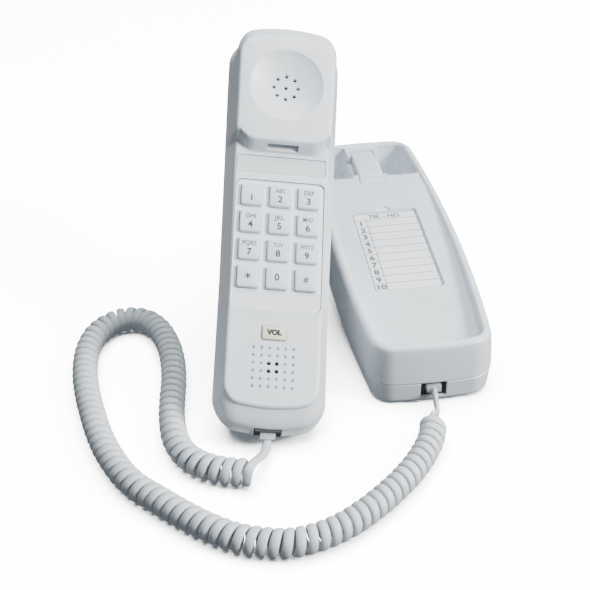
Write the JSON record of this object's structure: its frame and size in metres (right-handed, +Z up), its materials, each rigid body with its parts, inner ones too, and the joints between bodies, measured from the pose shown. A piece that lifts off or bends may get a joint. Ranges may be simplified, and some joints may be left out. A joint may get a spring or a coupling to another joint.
{
  "type": "corded landline phone",
  "caption": "Corded landline phone: keypad handset stood beside a slim cradle base with an index card, joined by a curly cord lying in a loop.",
  "frame": {"origin": "middle of the flat underside of the base's bottom plate", "axes": "+Y along the base from the handset cord's jack to the earpiece pocket, +Z up, +X to the right of the base"},
  "size_m": [0.2195, 0.326, 0.1585],
  "materials": {
    "shell": "cool off-white moulded, satin",
    "keys": "pale blue-white, satin",
    "panel": "white, satin",
    "label": "bare pale grey",
    "volume": "cream",
    "card": "white card stock",
    "window": "clear thin window",
    "jack": "black",
    "plug": "clear polycarbonate",
    "rubber": "matt black",
    "mat": "grey silicone",
    "board": "green circuit board",
    "steel": "zinc-plated",
    "capsule": "black",
    "cord": "off-white flexible jacket"
  },
  "bodies": {
    "base": {"base_housing": "shell", "bottom_plate": "shell", "foot_1": "rubber", "foot_2": "rubber", "foot_3": "rubber", "foot_4": "rubber", "hook_pin": "steel", "index_card": "card", "card_window": "window", "base_jack": "jack", "base_plug": "plug", "line_jack": "jack", "base_board": "board", "ringer": "capsule", "hook_switch": "capsule", "weight_plate": "steel", "base_screw_1": "steel", "base_screw_2": "steel", "coiled_cord": "cord", "base_lead": "cord"},
    "handset": {"handset_front": "shell", "handset_back": "shell", "keypad_panel": "panel", "key_mat": "mat", "handset_board": "board", "label_strip": "label", "receiver": "capsule", "microphone": "capsule", "handset_jack": "jack", "handset_plug": "plug", "handset_lead": "cord", "handset_screw_1": "steel", "handset_screw_2": "steel"},
    "key_1_cap": {"key_1": "keys"},
    "key_2_cap": {"key_2": "keys"},
    "key_3_cap": {"key_3": "keys"},
    "key_4_cap": {"key_4": "keys"},
    "key_5_cap": {"key_5": "keys"},
    "key_6_cap": {"key_6": "keys"},
    "key_7_cap": {"key_7": "keys"},
    "key_8_cap": {"key_8": "keys"},
    "key_9_cap": {"key_9": "keys"},
    "key_star_cap": {"key_star": "keys"},
    "key_0_cap": {"key_0": "keys"},
    "key_hash_cap": {"key_hash": "keys"},
    "volume": {"volume_button": "volume"},
    "lever": {"hook_lever": "shell"},
    "hook": {"wall_hook": "shell"}
  },
  "joints": [
    {"name": "handset_lift", "type": "slide", "parent": "base", "child": "handset", "axis": [0, 0, 1], "range_m": [0, 0.06]},
    {"name": "key_1_press", "type": "slide", "parent": "handset", "child": "key_1_cap", "axis": [-0.063, 0.6207, -0.7815], "range_m": [0, 0.0012], "stiffness_N_per_m": 300},
    {"name": "key_2_press", "type": "slide", "parent": "handset", "child": "key_2_cap", "axis": [-0.063, 0.6207, -0.7815], "range_m": [0, 0.0012], "stiffness_N_per_m": 300},
    {"name": "key_3_press", "type": "slide", "parent": "handset", "child": "key_3_cap", "axis": [-0.063, 0.6207, -0.7815], "range_m": [0, 0.0012], "stiffness_N_per_m": 300},
    {"name": "key_4_press", "type": "slide", "parent": "handset", "child": "key_4_cap", "axis": [-0.063, 0.6207, -0.7815], "range_m": [0, 0.0012], "stiffness_N_per_m": 300},
    {"name": "key_5_press", "type": "slide", "parent": "handset", "child": "key_5_cap", "axis": [-0.063, 0.6207, -0.7815], "range_m": [0, 0.0012], "stiffness_N_per_m": 300},
    {"name": "key_6_press", "type": "slide", "parent": "handset", "child": "key_6_cap", "axis": [-0.063, 0.6207, -0.7815], "range_m": [0, 0.0012], "stiffness_N_per_m": 300},
    {"name": "key_7_press", "type": "slide", "parent": "handset", "child": "key_7_cap", "axis": [-0.063, 0.6207, -0.7815], "range_m": [0, 0.0012], "stiffness_N_per_m": 300},
    {"name": "key_8_press", "type": "slide", "parent": "handset", "child": "key_8_cap", "axis": [-0.063, 0.6207, -0.7815], "range_m": [0, 0.0012], "stiffness_N_per_m": 300},
    {"name": "key_9_press", "type": "slide", "parent": "handset", "child": "key_9_cap", "axis": [-0.063, 0.6207, -0.7815], "range_m": [0, 0.0012], "stiffness_N_per_m": 300},
    {"name": "key_star_press", "type": "slide", "parent": "handset", "child": "key_star_cap", "axis": [-0.063, 0.6207, -0.7815], "range_m": [0, 0.0012], "stiffness_N_per_m": 300},
    {"name": "key_0_press", "type": "slide", "parent": "handset", "child": "key_0_cap", "axis": [-0.063, 0.6207, -0.7815], "range_m": [0, 0.0012], "stiffness_N_per_m": 300},
    {"name": "key_hash_press", "type": "slide", "parent": "handset", "child": "key_hash_cap", "axis": [-0.063, 0.6207, -0.7815], "range_m": [0, 0.0012], "stiffness_N_per_m": 300},
    {"name": "volume_press", "type": "slide", "parent": "handset", "child": "volume", "axis": [-0.063, 0.6207, -0.7815], "range_m": [0, 0.0008], "stiffness_N_per_m": 400},
    {"name": "hook_lever_hinge", "type": "hinge", "parent": "base", "child": "lever", "pos_m": [0, 0.0965, 0.0316], "axis": [1, 0, 0], "range_deg": [0, 5], "stiffness_Nm_per_rad": 0.2},
    {"name": "wall_hook_pull", "type": "slide", "parent": "base", "child": "hook", "axis": [0, 0, 1], "range_m": [0, 0.012]}
  ]
}
